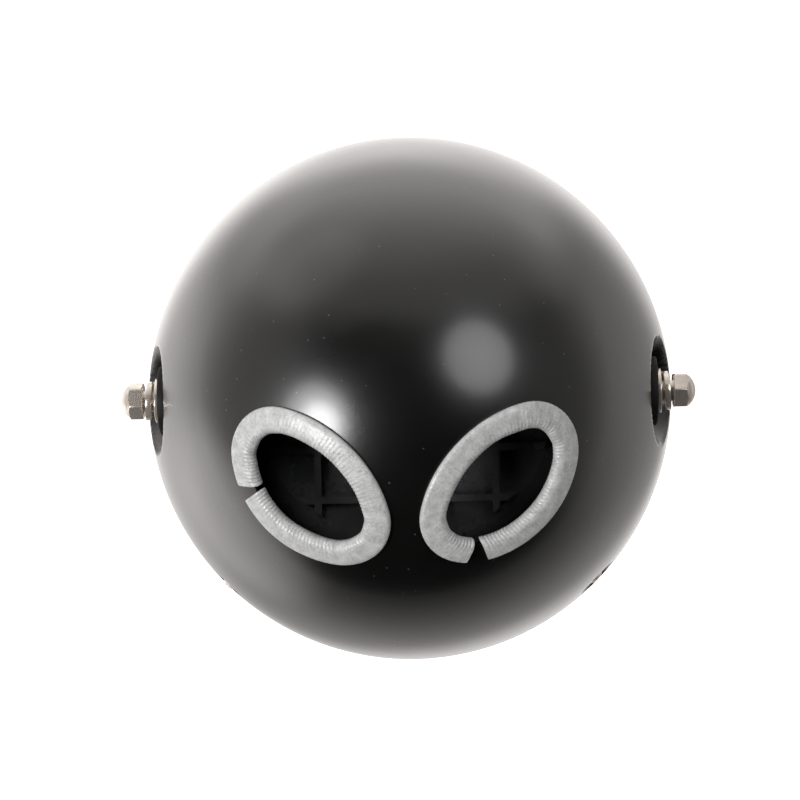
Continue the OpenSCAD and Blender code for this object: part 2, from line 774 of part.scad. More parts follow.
module led_chips() {
    chip = 2.6;
    pitch = 3.4;
    color("#e8d66a") {
        for (x = [-pitch, 0, pitch], z = [-pitch / 2, pitch / 2])
            translate([x - chip / 2, low_board_y + board_t, z - chip / 2]) cube([chip, 0.8, chip]);
        for (x = [-high_x, high_x], z = [-pitch / 2, pitch / 2])
            translate([x - chip / 2, high_board_y + board_t, z - chip / 2]) cube([chip, 0.8, chip]);
    }
}

// Driver board with its coil, capacitors, chip and plug socket
module driver_board()
    color("#1f5a35") translate([-driver_w / 2, driver_y, driver_z - driver_h / 2]) {
        difference() {
            cube([driver_w, board_t, driver_h]);
            for (x = [4, driver_w - 4], z = [4, driver_h - 4])
                translate([x, -1, z]) along_beam() cylinder(d = 3, h = board_t + 2);
        }
        translate([driver_w / 2 - 5, board_t - tuck, driver_h / 2 + 2]) cube([8, 4, 7]);
        translate([driver_w / 2 + 5, board_t - tuck, driver_h / 2 + 3]) cube([5, 1.6, 5]);
        for (x = [-8, -1.8])
            translate([driver_w / 2 + x, board_t - tuck, driver_h / 2 - 4]) along_beam() cylinder(d = 5, h = 5);
        translate([driver_w / 2 + 2, board_t - tuck, driver_h / 2 - 9]) cube([7, 4.5, 6]);
    }

module driver_screws()
    color("#b5b5b0") driver_holes() {
        translate([0, 0, driver_y - 2.6]) cylinder(d = 2, h = board_t + 3);
        translate([0, 0, driver_y + board_t]) intersection() {
            translate([0, 0, -1.2]) sphere(2.6);
            cylinder(d = 4.4, h = 2);
        }
    }

module vent_plug()
    color("#151515") translate([vent_x, lamp_back_y, vent_z]) along_beam() {
        translate([0, 0, -2.6]) cylinder(d = 9, h = 2.6);
        translate([0, 0, -tuck]) cylinder(d = 4.6, h = cast_t + tuck);
    }

module cable_gland()
    color("#151515") translate([0, lamp_back_y - rib_h, gland_z]) along_beam() rotate_extrude() difference() {
        union() {
            translate([0, -7]) square([6.5, 7]);
            translate([0, -9]) square([5, 3]);
            translate([0, -tuck]) square([4.3, rib_h + cast_t + tuck]);
        }
        translate([-1, -10]) square([3.5, rib_h + 30]);
    }

bucket();
edge_trim(-1, left_split);  // left_edge_trim
edge_trim(1, right_split);  // right_edge_trim
rubber_washer(-1);  // left_rubber_washer
rubber_washer(1);  // right_rubber_washer
flat_washer(-1);  // left_flat_washer
flat_washer(1);  // right_flat_washer
spring_washer(-1);  // left_spring_washer
spring_washer(1);  // right_spring_washer
mount_bolt(-1, left_hex_turn);  // left_mount_bolt
mount_bolt(1, right_hex_turn);  // right_mount_bolt
weld_nut(-1);  // left_weld_nut
weld_nut(1);  // right_weld_nut
ring_screw(-1);  // left_ring_screw
ring_screw(1);  // right_ring_screw
ring_bracket(-1);  // left_ring_bracket
ring_bracket(1);  // right_ring_bracket
ring_nut(-1);  // left_ring_nut
ring_nut(1);  // right_ring_nut
rim_seal();
trim_ring();
top_hook();
retaining_ring();
retaining_screws();
lamp_housing();
lens();
lens_gasket();
inner_bezel();
halo_light_guide();
projector_lens();
projector_barrel();
low_beam_reflector();
low_beam_board();
high_beam_reflector(-1);  // left_high_beam_reflector
high_beam_reflector(1);  // right_high_beam_reflector
high_beam_boards();
led_chips();
driver_board();
driver_screws();
vent_plug();
cable_gland();
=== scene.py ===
import json
import math

import bmesh
import bpy
import numpy as np
from mathutils import Matrix, Vector


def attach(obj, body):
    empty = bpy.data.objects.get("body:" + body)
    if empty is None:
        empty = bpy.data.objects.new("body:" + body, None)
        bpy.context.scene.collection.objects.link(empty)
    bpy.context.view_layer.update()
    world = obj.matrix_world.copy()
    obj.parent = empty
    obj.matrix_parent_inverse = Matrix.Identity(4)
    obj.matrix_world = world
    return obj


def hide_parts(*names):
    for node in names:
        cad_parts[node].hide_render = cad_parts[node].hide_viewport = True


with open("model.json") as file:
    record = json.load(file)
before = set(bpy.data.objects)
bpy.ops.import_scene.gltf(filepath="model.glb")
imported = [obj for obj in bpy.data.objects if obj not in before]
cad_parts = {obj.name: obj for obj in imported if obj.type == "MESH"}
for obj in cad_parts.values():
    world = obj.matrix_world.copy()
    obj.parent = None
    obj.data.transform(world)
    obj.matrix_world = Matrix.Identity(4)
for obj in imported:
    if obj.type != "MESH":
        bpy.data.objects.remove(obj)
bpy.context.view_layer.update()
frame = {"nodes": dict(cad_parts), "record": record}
print("frame loaded,", len(frame["nodes"]), "nodes")


# Camera: the lamp seen from straight behind, a little from below
cameraLook = {
    "azimuth": 1.38,
    "elevation": -1.46,
    "distance": 0.95,
    "lens": 117.2,
    "roll": 1.14,
    "aimRight": -0.00284,
    "aimUp": -0.00154,
}


def placeCamera():
    a = math.radians(cameraLook["azimuth"])
    e = math.radians(cameraLook["elevation"])
    roll = math.radians(cameraLook["roll"])
    back = Vector((math.sin(a) * math.cos(e), -math.cos(a) * math.cos(e), math.sin(e)))
    level = Vector((math.cos(a), math.sin(a), 0))
    upright = back.cross(level)
    right = level * math.cos(roll) - upright * math.sin(roll)
    up = level * math.sin(roll) + upright * math.cos(roll)
    aim = right * cameraLook["aimRight"] + up * cameraLook["aimUp"]
    camera = bpy.data.objects.new("photoCamera", bpy.data.cameras.new("photoCamera"))
    camera.data.lens = cameraLook["lens"]
    camera.data.sensor_width = 36
    camera.data.clip_start = 0.01
    bpy.context.collection.objects.link(camera)
    turn = Matrix((right, up, back)).transposed().to_4x4()
    camera.matrix_world = Matrix.Translation(aim + back * cameraLook["distance"]) @ turn
    bpy.context.scene.camera = camera


placeCamera()
print("camera placed")


# Shader helpers: every finish is built from these
def newFinish(name, colour, roughness, metallic=0.0):
    finish = bpy.data.materials.new(name)
    finish.use_nodes = True
    tree = finish.node_tree
    shader = tree.nodes["Principled BSDF"]
    shader.inputs["Base Color"].default_value = (*colour, 1)
    shader.inputs["Roughness"].default_value = roughness
    shader.inputs["Metallic"].default_value = metallic
    where = tree.nodes.new("ShaderNodeTexCoord").outputs["Object"]
    return finish, tree, shader, where


def grain(tree, where, scale, detail=3.0, rough=0.55):
    noise = tree.nodes.new("ShaderNodeTexNoise")
    noise.inputs["Scale"].default_value = scale
    noise.inputs["Detail"].default_value = detail
    noise.inputs["Roughness"].default_value = rough
    tree.links.new(where, noise.inputs["Vector"])
    return noise.outputs["Fac"]


def stretched(tree, where, scale):
    mapping = tree.nodes.new("ShaderNodeMapping")
    mapping.inputs["Scale"].default_value = scale
    tree.links.new(where, mapping.inputs["Vector"])
    return mapping.outputs["Vector"]


def spread(tree, factor, low, high, start=0.3, stop=0.7, soft=False):
    span = tree.nodes.new("ShaderNodeMapRange")
    span.interpolation_type = "SMOOTHSTEP" if soft else "LINEAR"
    span.inputs["From Min"].default_value = start
    span.inputs["From Max"].default_value = stop
    span.inputs["To Min"].default_value = low
    span.inputs["To Max"].default_value = high
    tree.links.new(factor, span.inputs["Value"])
    return span.outputs["Result"]


def blendColours(tree, factor, first, second):
    mixer = tree.nodes.new("ShaderNodeMix")
    mixer.data_type = "RGBA"
    tree.links.new(factor, mixer.inputs["Factor"])
    for socket, colour in ((mixer.inputs["A"], first), (mixer.inputs["B"], second)):
        if isinstance(colour, tuple):
            socket.default_value = (*colour, 1)
        else:
            tree.links.new(colour, socket)
    return mixer.outputs["Result"]


def relief(tree, shader, height, depth, strength=1.0, under=None):
    bump = tree.nodes.new("ShaderNodeBump")
    bump.inputs["Distance"].default_value = depth
    bump.inputs["Strength"].default_value = strength
    tree.links.new(height, bump.inputs["Height"])
    if under:
        tree.links.new(under, bump.inputs["Normal"])
    tree.links.new(bump.outputs["Normal"], shader.inputs["Normal"])
    return bump.outputs["Normal"]


def cells(tree, where, scale, output="Distance"):
    voronoi = tree.nodes.new("ShaderNodeTexVoronoi")
    voronoi.inputs["Scale"].default_value = scale
    tree.links.new(where, voronoi.inputs["Vector"])
    return voronoi.outputs[output]


def compute(tree, kind, first, second):
    result = tree.nodes.new("ShaderNodeMath")
    result.operation = kind
    for socket, value in ((result.inputs[0], first), (result.inputs[1], second)):
        if isinstance(value, (int, float)):
            socket.default_value = value
        else:
            tree.links.new(value, socket)
    return result.outputs["Value"]


# Dust specks: a few cells hold a speck, the rest none
def dust(tree, where, scale, size, share):
    near = spread(tree, cells(tree, where, scale), 1, 0, size * 0.6, size)
    chosen = spread(tree, cells(tree, where, scale, "Color"), 0, 1, 1 - share, 1 - share + 0.01)
    return compute(tree, "MULTIPLY", near, chosen)


paintLook = {
    "colour": (0.0024, 0.0022, 0.0022),
    "worn": (0.0038, 0.0035, 0.0034),
    "roughness": (0.27, 0.33),
    "peelScale": 420,
    "peelDepth": 0.00002,
    "specks": 0.5,
}


def makePaint():
    look = paintLook
    finish, tree, shader, where = newFinish("satinBlackPaint", look["colour"], 0.3)
    speck = dust(tree, where, 210, 0.07, look["specks"])
    cloud = grain(tree, where, 26, 4)
    base = blendColours(tree, spread(tree, cloud, 0, 1), look["colour"], look["worn"])
    dusty = blendColours(tree, compute(tree, "MULTIPLY", speck, 0.5), base, (0.16, 0.15, 0.14))
    tree.links.new(dusty, shader.inputs["Base Color"])
    rough = spread(tree, cloud, *look["roughness"])
    tree.links.new(rough, shader.inputs["Roughness"])
    relief(tree, shader, grain(tree, where, look["peelScale"], 2), look["peelDepth"])
    shader.inputs["IOR"].default_value = 1.5
    shader.inputs["Coat Weight"].default_value = 0.8
    shader.inputs["Coat Roughness"].default_value = 0.19
    return finish


def makeRingGloss():
    finish, tree, shader, where = newFinish("glossBlackRing", (0.012, 0.012, 0.013), 0.2)
    cloud = grain(tree, where, 30, 4)
    tree.links.new(spread(tree, cloud, 0.16, 0.24), shader.inputs["Roughness"])
    tint = blendColours(tree, spread(tree, cloud, 0, 1), (0.011, 0.011, 0.012), (0.016, 0.016, 0.017))
    tree.links.new(tint, shader.inputs["Base Color"])
    relief(tree, shader, grain(tree, where, 500, 2), 0.000015)
    shader.inputs["Coat Weight"].default_value = 0.5
    shader.inputs["Coat Roughness"].default_value = 0.08
    return finish


def makeEdging():
    finish, tree, shader, where = newFinish("greyVinyl", (0.38, 0.385, 0.385), 0.4)
    cloud = grain(tree, where, 300, 5, 0.65)
    fine = grain(tree, where, 1100, 4, 0.7)
    tint = blendColours(tree, spread(tree, cloud, 0, 1), (0.33, 0.335, 0.33), (0.53, 0.535, 0.53))
    tinted = blendColours(tree, spread(tree, fine, 0, 0.55, 0.5, 0.68), tint, (0.22, 0.22, 0.215))
    tree.links.new(tinted, shader.inputs["Base Color"])
    tree.links.new(spread(tree, fine, 0.28, 0.5), shader.inputs["Roughness"])
    shader.inputs["Coat Weight"].default_value = 0.35
    shader.inputs["Coat Roughness"].default_value = 0.16
    relief(tree, shader, fine, 0.0002)
    return finish


def makeRubber(name, colour, roughness):
    finish, tree, shader, where = newFinish(name, colour, roughness)
    cloud = grain(tree, where, 180, 5)
    pale = tuple(c * 1.9 for c in colour)
    tree.links.new(blendColours(tree, spread(tree, cloud, 0, 1), colour, pale), shader.inputs["Base Color"])
    tree.links.new(spread(tree, cloud, roughness - 0.08, roughness + 0.1), shader.inputs["Roughness"])
    relief(tree, shader, grain(tree, where, 2400, 3), 0.00003)
    shader.inputs["Specular IOR Level"].default_value = 0.28
    return finish


# Plated or bare metal: faint clouds, fine scratches and a soft unevenness
def makeMetal(name, colour, roughness, scratch, wave=0.00002, metallic=1.0):
    finish, tree, shader, where = newFinish(name, colour, roughness, metallic)
    cloud = grain(tree, where, 150, 4)
    lines = grain(tree, stretched(tree, where, (900, 9000, 900)), 1, 2)
    dull = tuple(c * 0.72 for c in colour)
    tree.links.new(blendColours(tree, spread(tree, cloud, 0, 1), colour, dull), shader.inputs["Base Color"])
    clouded = spread(tree, cloud, roughness - 0.06, roughness + 0.06)
    worn = compute(tree, "ADD", clouded, spread(tree, lines, 0, scratch))
    tree.links.new(worn, shader.inputs["Roughness"])
    waves = relief(tree, shader, grain(tree, where, 260, 2), wave)
    relief(tree, shader, lines, 0.000008, 0.6, waves)
    return finish


def makeCasting(name, colour, roughness, grainSize, depth):
    finish, tree, shader, where = newFinish(name, colour, roughness)
    cloud = grain(tree, where, 60, 4)
    pale = tuple(c * 1.7 for c in colour)
    tree.links.new(blendColours(tree, spread(tree, cloud, 0, 1), colour, pale), shader.inputs["Base Color"])
    tree.links.new(spread(tree, cloud, roughness - 0.06, roughness + 0.08), shader.inputs["Roughness"])
    relief(tree, shader, grain(tree, where, grainSize, 4), depth)
    return finish


def makeClear(name, colour, ior):
    finish, tree, shader, where = newFinish(name, colour, 0.02)
    shader.inputs["Transmission Weight"].default_value = 1.0
    shader.inputs["IOR"].default_value = ior
    haze = grain(tree, where, 40, 3)
    tree.links.new(spread(tree, haze, 0.01, 0.04), shader.inputs["Roughness"])
    pale = tuple(c * 0.97 for c in colour)
    tree.links.new(blendColours(tree, spread(tree, haze, 0, 1), colour, pale), shader.inputs["Base Color"])
    relief(tree, shader, grain(tree, where, 90, 2), 0.00001)
    return finish


def makeLightGuide():
    finish, tree, shader, where = newFinish("frostedGuide", (0.85, 0.87, 0.88), 0.35)
    shader.inputs["Transmission Weight"].default_value = 0.35
    shader.inputs["IOR"].default_value = 1.49
    fine = grain(tree, where, 900, 3)
    tree.links.new(spread(tree, fine, 0.28, 0.45), shader.inputs["Roughness"])
    tint = blendColours(tree, spread(tree, fine, 0, 1), (0.82, 0.85, 0.87), (0.9, 0.91, 0.91))
    tree.links.new(tint, shader.inputs["Base Color"])
    relief(tree, shader, fine, 0.00003)
    return finish


# Circuit board: solder mask with faint copper tracks under it
def makeBoard(name, mask, track):
    finish, tree, shader, where = newFinish(name, mask, 0.35)
    bricks = tree.nodes.new("ShaderNodeTexBrick")
    bricks.inputs["Scale"].default_value = 130
    bricks.inputs["Mortar Size"].default_value = 0.03
    tree.links.new(stretched(tree, where, (1, 1, 1.7)), bricks.inputs["Vector"])
    cloud = grain(tree, where, 90, 3)
    tinted = blendColours(tree, spread(tree, cloud, 0, 0.4), mask, tuple(c * 0.7 for c in mask))
    tree.links.new(blendColours(tree, bricks.outputs["Fac"], tinted, track), shader.inputs["Base Color"])
    tree.links.new(spread(tree, cloud, 0.3, 0.42), shader.inputs["Roughness"])
    relief(tree, shader, bricks.outputs["Fac"], 0.00003)
    return finish


def makePhosphor():
    finish, tree, shader, where = newFinish("ledPhosphor", (0.8, 0.65, 0.1), 0.4)
    fine = grain(tree, where, 3000, 3)
    tint = blendColours(tree, spread(tree, fine, 0, 1), (0.78, 0.62, 0.09), (0.86, 0.72, 0.2))
    tree.links.new(tint, shader.inputs["Base Color"])
    relief(tree, shader, fine, 0.00002)
    return finish


finishes = {
    "black_paint": makePaint(),
    "ring_black": makeRingGloss(),
    "grey_edging": makeEdging(),
    "black_rubber": makeRubber("blackRubber", (0.006, 0.006, 0.006), 0.62),
    "plated_steel": makeMetal("nickelPlate", (0.84, 0.76, 0.68), 0.19, 0.05, metallic=0.76),
    "zinc_steel": makeMetal("zincPlate", (0.5, 0.5, 0.48), 0.38, 0.12),
    "black_steel": makeCasting("blackSteel", (0.03, 0.03, 0.03), 0.45, 1500, 0.00002),
    "cast_black": makeCasting("coatedCasting", (0.034, 0.034, 0.036), 0.25, 1200, 0.00003),
    "clear_lens": makeClear("clearCover", (0.96, 0.98, 0.99), 1.5),
    "projector_glass": makeClear("projectorGlass", (0.93, 0.97, 0.99), 1.52),
    "black_plastic": makeCasting("blackMoulding", (0.014, 0.014, 0.015), 0.42, 2200, 0.00003),
    "light_guide": makeLightGuide(),
    "reflector": makeMetal("metallised", (0.86, 0.86, 0.86), 0.1, 0.03, 0.000005),
    "board_white": makeBoard("whiteBoard", (0.78, 0.78, 0.74), (0.5, 0.48, 0.4)),
    "board_green": makeBoard("greenBoard", (0.02, 0.12, 0.05), (0.04, 0.2, 0.09)),
    "led_yellow": makePhosphor(),
}
slotOf = {part["node"]: part["material_slot"] for part in frame["record"]["subparts"]}
for nodeName, node in frame["nodes"].items():
    for place in node.material_slots:
        place.material = finishes[slotOf[nodeName]]
print("finishes made")


# Mesh helpers: shapes are worked out in millimetres and stored in metres
def newPiece(name, points, faces, sharpAngle=38):
    mesh = bpy.data.meshes.new(name)
    mesh.from_pydata((np.asarray(points) * 0.001).tolist(), [], faces)
    build = bmesh.new()
    build.from_mesh(mesh)
    bmesh.ops.recalc_face_normals(build, faces=build.faces)
    build.to_mesh(mesh)
    build.free()
    mesh.shade_smooth()
    mesh.set_sharp_from_angle(angle=math.radians(sharpAngle))
    piece = bpy.data.objects.new(name, mesh)
    bpy.context.collection.objects.link(piece)
    return piece


# Joins rows of points that close round. Its ends get a middle point or one flat face,
# and none where the rows themselves wrap round too.
def gridPiece(name, grid, wrapRows=False, flatEnds=False, sharpAngle=38):
    rows, columns = grid.shape[:2]
    points = list(grid.reshape(-1, 3))
    faces = []
    for i in range(rows if wrapRows else rows - 1):
        a = i * columns
        b = (i + 1) % rows * columns
        faces += [(a + j, a + (j + 1) % columns, b + (j + 1) % columns, b + j) for j in range(columns)]
    if not wrapRows:
        for row in (0, rows - 1):
            start = row * columns
            if flatEnds:
                faces.append(tuple(range(start, start + columns)))
            else:
                points.append(grid[row].mean(axis=0))
                faces += [(start + j, start + (j + 1) % columns, len(points) - 1) for j in range(columns)]
    return newPiece(name, points, faces, sharpAngle)


# Axes of a part that is turned about a line: local z runs outwards from origin along outward
def axesAlong(outward, origin=(0, 0, 0)):
    z = np.array(outward, float)
    z /= np.linalg.norm(z)
    x = np.cross((0, 1, 0) if abs(z[1]) < 0.9 else (0, 0, 1), z)
    x /= np.linalg.norm(x)
    return np.stack([x, np.cross(z, x), z]), np.array(origin, float)


def turned(profile, axes, segments=96):
    turns = np.linspace(0, 2 * math.pi, segments, endpoint=False)
    frameAxes, origin = axes
    radius = np.array([p[0] for p in profile])[:, None]
    height = np.array([p[1] for p in profile])[:, None] + 0 * turns
    local = np.stack([radius * np.cos(turns), radius * np.sin(turns), height], axis=-1)
    return local @ frameAxes + origin


def arcPoints(centre, radius, start, stop, steps):
    turns = np.radians(np.linspace(start, stop, steps + 1))
    return [(centre[0] + radius * math.cos(t), centre[1] + radius * math.sin(t)) for t in turns]


def finishPiece(piece, slotName, *nodeNames):
    piece.data.materials.clear()
    piece.data.materials.append(finishes[slotName])
    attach(piece, "root")
    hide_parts(*nodeNames)


def cutWith(piece, cutter):
    tool = piece.modifiers.new("cut", "BOOLEAN")
    tool.operation = "DIFFERENCE"
    tool.solver = "EXACT"
    tool.object = cutter
    bpy.context.view_layer.objects.active = piece
    bpy.ops.object.modifier_apply(modifier=tool.name)
    bpy.data.objects.remove(cutter, do_unlink=True)


# Bucket: the pressed bowl, all lengths in millimetres
bucketShape = {
    "rimRadius": 98,
    "rimY": 30,
    "wall": 1.2,
    "sideRadius": 180,
    "rimSlope": 3.5,
    "turnAngle": 32,
    "lipDepth": 3.2,
    "padRadius": 16,
    "padDepth": 6.7,
    "padSlope": 74,
    "padStretch": 0.85,  # below 1, the pad reaches further towards the back
    "padRoot": 3,
    "padEdge": 2.2,
    "boltHole": 4.2,
    "screwBack": 10,
    "screwDrop": 45,
    "dimpleRadius": 5.4,
    "dimpleDepth": 2,
    "dimpleSlope": 40,
    "dimpleRoot": 1.5,
    "dimpleEdge": 1.3,
    "screwHole": 2.7,
    "pressReach": 40,
    "rimSoft": 1.1,
    "rimDraw": 0.07,  # how far the side has drawn in where the lip's bend starts
    "columns": 440,
}


def legOf(slant, leg):
    return np.sqrt(slant * slant - leg * leg)


sideCentre = (
    bucketShape["rimRadius"] - bucketShape["sideRadius"] * math.cos(math.radians(bucketShape["rimSlope"])),
    bucketShape["rimY"] + bucketShape["sideRadius"] * math.sin(math.radians(bucketShape["rimSlope"])),
)
backRadius = bucketShape["sideRadius"] + sideCentre[0] / math.cos(math.radians(bucketShape["turnAngle"]))
backY = sideCentre[1] + sideCentre[0] * math.tan(math.radians(bucketShape["turnAngle"]))


def bowlRadius(y):
    return sideCentre[0] + legOf(bucketShape["sideRadius"], y - sideCentre[1])


padX = bowlRadius(0) - bucketShape["padDepth"]
screwY = bucketShape["rimY"] - bucketShape["screwBack"]
dimpleFloor = bowlRadius(screwY) - bucketShape["dimpleDepth"]
screwDrop = math.radians(bucketShape["screwDrop"])
screwAxis = {side: (side * math.cos(screwDrop), 0, -math.sin(screwDrop)) for side in (-1, 1)}


# Height of a pressing's wall at a distance from its middle
def pressedHeight(distance, flat, root, slope, skin):
    lean = math.radians(slope)
    radius = root + skin
    reach = radius * math.sin(lean)
    rounded = root - legOf(radius, np.clip(distance - flat, 0, reach))
    line = root - radius * math.cos(lean) + (distance - flat - reach) * math.tan(lean)
    return np.where(distance < flat + reach, rounded, line)


def softMin(first, second, width):
    overlap = np.maximum(width - np.abs(first - second), 0) / width
    return np.minimum(first, second) - overlap * overlap * width / 4


def pressIn(points, axis, origin, floor, flat, root, slope, skin, width, stretch=1.0):
    axis = np.array(axis, float)
    offset = points - np.array(origin, float)
    along = offset @ axis
    flatOffset = offset - along[..., None] * axis
    flatOffset[..., 1] *= np.where(flatOffset[..., 1] < 0, stretch, 1)
    distance = np.linalg.norm(flatOffset, axis=-1)
    pressed = softMin(along, floor + pressedHeight(distance, flat, root, slope, skin), width)
    move = np.where((along > 0) & (distance < bucketShape["pressReach"]), pressed - along, 0)
    return points + move[..., None] * axis


# Presses the side pads and the screws' dimples into the bowl
def pressAll(points, skin):
    shape = bucketShape
    for side in (-1, 1):
        points = pressIn(
            points, (side, 0, 0), (0, 0, 0), padX,
            shape["padRadius"], shape["padRoot"], shape["padSlope"], skin,
            shape["padEdge"], shape["padStretch"],
        )
        points = pressIn(
            points, screwAxis[side], (0, screwY, 0), dimpleFloor,
            shape["dimpleRadius"], shape["dimpleRoot"], shape["dimpleSlope"], skin,
            shape["dimpleEdge"],
        )
    return points


# Bowl section from the pole to the rim, drawn in by inset
def bowlProfile(inset, backRows, sideRows, stopY):
    back = arcPoints((0, backY), backRadius - inset, -89.7, -bucketShape["turnAngle"], backRows)
    radius = bucketShape["sideRadius"] - inset
    stopTurn = math.degrees(math.asin((stopY - sideCentre[1]) / radius))
    side = arcPoints(sideCentre, radius, -bucketShape["turnAngle"], stopTurn, sideRows)
    return back + side[1:]


# More columns across the pads and the dimples
def columnTurns(count):
    fine = np.linspace(-math.pi, math.pi, 7201)
    density = np.ones_like(fine)
    pads = [(middle, 20, 1.3) for middle in (0, 180, -180)]
    dimples = [(middle, 7, 1.2) for middle in (-45, -135)]
    for middle, half, extra in pads + dimples:
        away = np.abs(np.degrees(fine) - middle)
        density += extra / (1 + np.exp((away - half) * 0.8))
    total = np.concatenate([[0], np.cumsum((density[1:] + density[:-1]) / 2)])
    return np.interp(np.linspace(0, total[-1], count, endpoint=False), total, fine)


def sweepBowl(profile, turns):
    radius = np.array([p[0] for p in profile])[:, None]
    y = np.array([p[1] for p in profile])[:, None] + 0 * turns
    return np.stack([radius * np.cos(turns), y, radius * np.sin(turns)], axis=-1)


def makeBucket():
    turns = columnTurns(bucketShape["columns"])
    rimY, wall, soft = bucketShape["rimY"], bucketShape["wall"], bucketShape["rimSoft"]
    rimRadius = bucketShape["rimRadius"]
    lipRadius = rimRadius - wall - bucketShape["lipDepth"]
    outer = bowlProfile(0, 50, 70, rimY - soft)
    lip = arcPoints((rimRadius - soft - bucketShape["rimDraw"], rimY - soft), soft, 0, 90, 5)
    lip += arcPoints((lipRadius + wall / 2, rimY - wall / 2), wall / 2, 90, 270, 6)
    inner = bowlProfile(wall, 26, 34, rimY - wall)[::-1]
    outside = pressAll(sweepBowl(outer, turns), 0)
    inside = pressAll(sweepBowl(inner, turns), wall)
    grid = np.concatenate([outside, sweepBowl(lip, turns), inside])
    return gridPiece("bucket_shell", grid, sharpAngle=42)


# Oval of four arcs: the cable hole and its edging
holeShape = {
    "length": 51.5,
    "width": 36.5,
    "endRadius": 14,
    "polar": 34.5,
    "swing": 45,
}
ovalEndY = holeShape["length"] / 2 - holeShape["endRadius"]
ovalHalfWidth = holeShape["width"] / 2
ovalSideRadius = (ovalEndY ** 2 + ovalHalfWidth ** 2 - holeShape["endRadius"] ** 2) / (
    2 * (ovalHalfWidth - holeShape["endRadius"])
)
ovalSideX = ovalSideRadius - ovalHalfWidth


def arcRadius(turn):
    onEnd = abs(math.sin(turn)) * ovalSideX > abs(math.cos(turn)) * ovalEndY
    return holeShape["endRadius"] if onEnd else ovalSideRadius


def ovalPoint(turn, off):
    c, s = math.cos(turn), math.sin(turn)
    if abs(s) * ovalSideX > abs(c) * ovalEndY:
        reach = holeShape["endRadius"] + off
        return reach * c, math.copysign(ovalEndY, s) + reach * s
    reach = ovalSideRadius + off
    return reach * c - math.copysign(ovalSideX, c), reach * s


# Axes of a cable hole: x across, y along its length, z outwards from the middle of the round back
def holeAxes(side):
    swing = Matrix.Rotation(math.radians(holeShape["swing"]), 3, "Y")
    polar = Matrix.Rotation(math.radians(holeShape["polar"]), 3, "Y")
    turn = swing @ Matrix.Rotation(math.pi / 2, 3, "X") @ polar
    axes = np.array(turn.transposed())
    axes[:, 0] *= side
    return axes


def holeCutter(side):
    rows = []
    for depth in (40, 110):
        rows.append([(*ovalPoint(math.radians(t), 0), depth) for t in range(0, 360, 3)])
    grid = np.array(rows) @ holeAxes(side) + np.array((0, backY, 0))
    return gridPiece("cutter", grid, flatEnds=True)


def roundCutter(axis, origin, radius, start, stop):
    grid = turned([(radius, start), (radius, stop)], axesAlong(axis, origin), 32)
    return gridPiece("cutter", grid, flatEnds=True)


bucket = makeBucket()
for side in (-1, 1):
    cutWith(bucket, holeCutter(side))
    cutter = roundCutter((side, 0, 0), (0, 0, 0), bucketShape["boltHole"], padX - 5, padX + 5)
    cutWith(bucket, cutter)
    start, stop = dimpleFloor - 4, dimpleFloor + 4
    cutter = roundCutter(screwAxis[side], (0, screwY, 0), bucketShape["screwHole"], start, stop)
    cutWith(bucket, cutter)
bucket.data.shade_smooth()
bucket.data.set_sharp_from_angle(angle=math.radians(42))
finishPiece(bucket, "black_paint", "bucket")
print("bucket made,", len(bucket.data.polygons), "faces")


# Edging: a ribbed U-section pushed over the sheet, split at one place.
# A point of its section lies "off" outwards from the hole's edge and "up" from the sheet's middle.
edgingShape = {
    "reach": 5.9,
    "leg": 2,
    "slot": 0.75,
    "splitInner": 1.4,
    "splitOuter": 6,
    "ribPitch": 1.3,
    "ribDepth": 0.15,
    "ribOnBulb": 1.4,
    "ribOnLegs": 0.4,
    "wander": 0.22,
    "wanderUp": 0.35,
    "stations": 600,
}
edgingBulb = edgingShape["slot"] + edgingShape["leg"]


def edgingSection():
    reach, leg, slot = edgingShape["reach"], edgingShape["leg"], edgingShape["slot"]
    rounded = ((0, 0.35), (0.15, 0.62), (0.55, 0.84), (1.3, 0.97), (2.4, 1))  # the leg's tip
    outer = [(reach - back, slot + leg * share) for back, share in rounded]
    outer += [(1.6, edgingBulb)]
    outer += arcPoints((0, 0), edgingBulb, 90, 180, 5)
    outer += [(x, -y) for x, y in outer[-2::-1]]
    side = [(0.2, slot), (2.5, slot), (reach - 0.1, slot)]
    inner = [(x, -y) for x, y in side[::-1]] + [(-0.1, 0)] + side
    return np.array(outer), np.array(inner)


